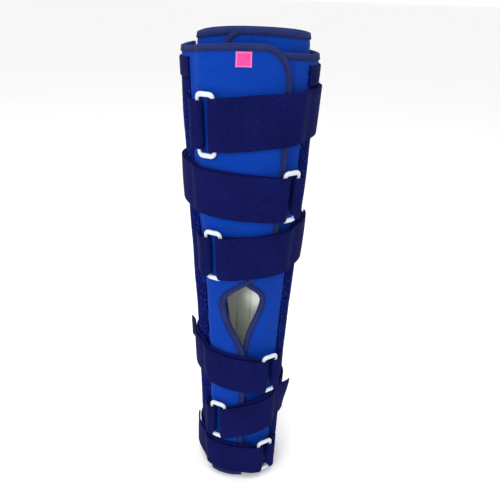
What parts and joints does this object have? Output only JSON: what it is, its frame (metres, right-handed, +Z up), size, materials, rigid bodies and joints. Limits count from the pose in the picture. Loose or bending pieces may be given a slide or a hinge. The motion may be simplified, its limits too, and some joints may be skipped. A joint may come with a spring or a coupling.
{
  "type": "knee immobilizer",
  "caption": "Padded three-panel leg sleeve with a kneecap opening, side stays under pile bands and wide straps pulled through plastic loops.",
  "frame": {"origin": "on the ground, under the centre of the bounding box; the sleeve's axis stands 9 mm behind it and 2 mm to the left of it, at the centre of the lower rim", "axes": "+Z up along the leg, towards the wide upper end; -Y is the front of the leg, where the panels and straps close; +X is to the right as seen from the front"},
  "size_m": [0.1652, 0.1538, 0.6],
  "materials": {
    "blue_cloth": "brushed foam-backed cloth",
    "binding_tape": "woven edge tape",
    "grey_lining": "knitted lining",
    "pile_band": "loop pile",
    "webbing": "woven webbing",
    "white_plastic": "moulded, satin",
    "pink_label": "bare woven label"
  },
  "bodies": {
    "root": {"inner_wrap": "blue_cloth", "left_panel": "blue_cloth", "right_panel": "blue_cloth", "inner_binding": "binding_tape", "left_binding": "binding_tape", "right_binding": "binding_tape", "lining": "grey_lining", "left_band": "pile_band", "right_band": "pile_band", "left_patch": "webbing", "right_patch": "webbing", "label": "pink_label", "strap_1": "webbing", "tab_1": "webbing", "loop_1": "white_plastic", "strap_2": "webbing", "tab_2": "webbing", "loop_2": "white_plastic", "strap_3": "webbing", "tab_3": "webbing", "loop_3": "white_plastic", "strap_4": "webbing", "tab_4": "webbing", "loop_4": "white_plastic", "strap_5": "webbing", "tab_5": "webbing", "loop_5": "white_plastic", "strap_6": "webbing", "tab_6": "webbing", "loop_6": "white_plastic"}
  },
  "joints": []
}
